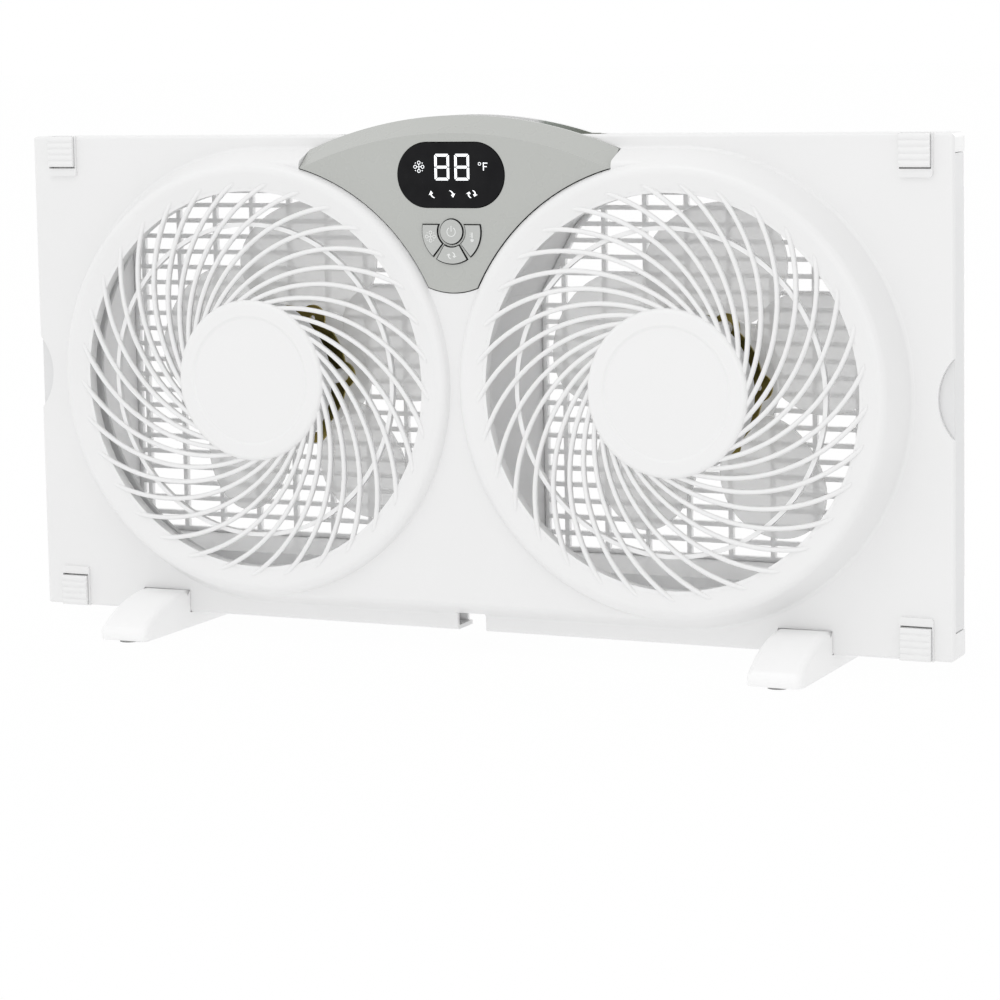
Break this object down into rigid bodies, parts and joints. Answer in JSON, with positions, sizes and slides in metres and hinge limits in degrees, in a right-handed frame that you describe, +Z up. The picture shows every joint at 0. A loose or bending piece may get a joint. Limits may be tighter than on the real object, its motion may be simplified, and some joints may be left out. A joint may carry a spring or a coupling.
{
  "type": "window fan",
  "caption": "Flat window fan with round spiral grilles, digital control panel, slide-out extender panels, corner locks and clip-on feet.",
  "frame": {"origin": "on the floor under the middle of the whole product", "axes": "+X across the window, to the right as seen from the room; +Y from the room to the outside; +Z up"},
  "size_m": [0.6, 0.142, 0.3206],
  "materials": {
    "white_shell": "satin moulded",
    "white_grille": "satin moulded",
    "grey_panel": "fine matt",
    "black_lens": "polished",
    "led_white": "matt",
    "green_board": "solder mask",
    "black_plastic": "matt",
    "zinc_screw": "zinc plated",
    "grey_button": "fine matt",
    "white_rear": "satin moulded",
    "tan_board": "matt",
    "white_extender": "satin moulded",
    "white_lock": "satin moulded",
    "dark_motor": "black lacquered laminations",
    "gold_bracket": "yellow chromate",
    "steel_shaft": "ground",
    "white_fan": "satin moulded",
    "white_foot": "satin moulded",
    "grey_rubber": "matt"
  },
  "bodies": {
    "housing": {"front_housing": "white_shell", "grille_left": "white_grille", "grille_right": "white_grille", "control_panel": "grey_panel", "display_lens": "black_lens", "led_display": "led_white", "control_board": "green_board", "tact_switches": "black_plastic", "board_screws": "zinc_screw", "rear_housing": "white_rear", "rear_grille_left": "white_rear", "rear_grille_right": "white_rear", "carry_handle": "white_shell", "power_board": "tan_board", "cord_gland": "black_plastic", "housing_screws": "zinc_screw", "motor_left": "dark_motor", "motor_right": "dark_motor", "motor_bracket_left": "gold_bracket", "motor_bracket_right": "gold_bracket", "motor_screws": "zinc_screw", "foot_left": "white_foot", "foot_right": "white_foot", "foot_pads": "grey_rubber"},
    "left_fan": {"shaft_left": "steel_shaft", "rotor_left": "steel_shaft", "fan_left": "white_fan", "fan_nut_left": "white_fan"},
    "right_fan": {"shaft_right": "steel_shaft", "rotor_right": "steel_shaft", "fan_right": "white_fan", "fan_nut_right": "white_fan"},
    "left_extender": {"extender_left": "white_extender"},
    "right_extender": {"extender_right": "white_extender"},
    "upper_left_lock": {"lock_upper_left": "white_lock"},
    "upper_right_lock": {"lock_upper_right": "white_lock"},
    "lower_left_lock": {"lock_lower_left": "white_lock"},
    "lower_right_lock": {"lock_lower_right": "white_lock"},
    "power_key": {"power_button": "grey_button"},
    "fan_key": {"fan_button": "grey_button"},
    "airflow_key": {"airflow_button": "grey_button"},
    "temperature_key": {"temperature_button": "grey_button"}
  },
  "joints": [
    {"name": "left_fan_spin", "type": "hinge", "parent": "housing", "child": "left_fan", "pos_m": [-0.136, 0.03, 0.161], "axis": [0, 1, 0], "continuous": true},
    {"name": "right_fan_spin", "type": "hinge", "parent": "housing", "child": "right_fan", "pos_m": [0.136, 0.03, 0.161], "axis": [0, 1, 0], "continuous": true},
    {"name": "left_extender_slide", "type": "slide", "parent": "housing", "child": "left_extender", "axis": [-1, 0, 0], "range_m": [0, 0.038]},
    {"name": "right_extender_slide", "type": "slide", "parent": "housing", "child": "right_extender", "axis": [1, 0, 0], "range_m": [0, 0.038]},
    {"name": "upper_left_lock_slide", "type": "slide", "parent": "housing", "child": "upper_left_lock", "axis": [0, 0, 1], "range_m": [0, 0.005]},
    {"name": "upper_right_lock_slide", "type": "slide", "parent": "housing", "child": "upper_right_lock", "axis": [0, 0, 1], "range_m": [0, 0.005]},
    {"name": "lower_left_lock_slide", "type": "slide", "parent": "housing", "child": "lower_left_lock", "axis": [0, 0, -1], "range_m": [0, 0.005]},
    {"name": "lower_right_lock_slide", "type": "slide", "parent": "housing", "child": "lower_right_lock", "axis": [0, 0, -1], "range_m": [0, 0.005]},
    {"name": "power_key_press", "type": "slide", "parent": "housing", "child": "power_key", "axis": [0, 1, 0], "range_m": [0, 0.001], "stiffness_N_per_m": 300},
    {"name": "fan_key_press", "type": "slide", "parent": "housing", "child": "fan_key", "axis": [0, 1, 0], "range_m": [0, 0.001], "stiffness_N_per_m": 300},
    {"name": "airflow_key_press", "type": "slide", "parent": "housing", "child": "airflow_key", "axis": [0, 1, 0], "range_m": [0, 0.001], "stiffness_N_per_m": 300},
    {"name": "temperature_key_press", "type": "slide", "parent": "housing", "child": "temperature_key", "axis": [0, 1, 0], "range_m": [0, 0.001], "stiffness_N_per_m": 300}
  ]
}
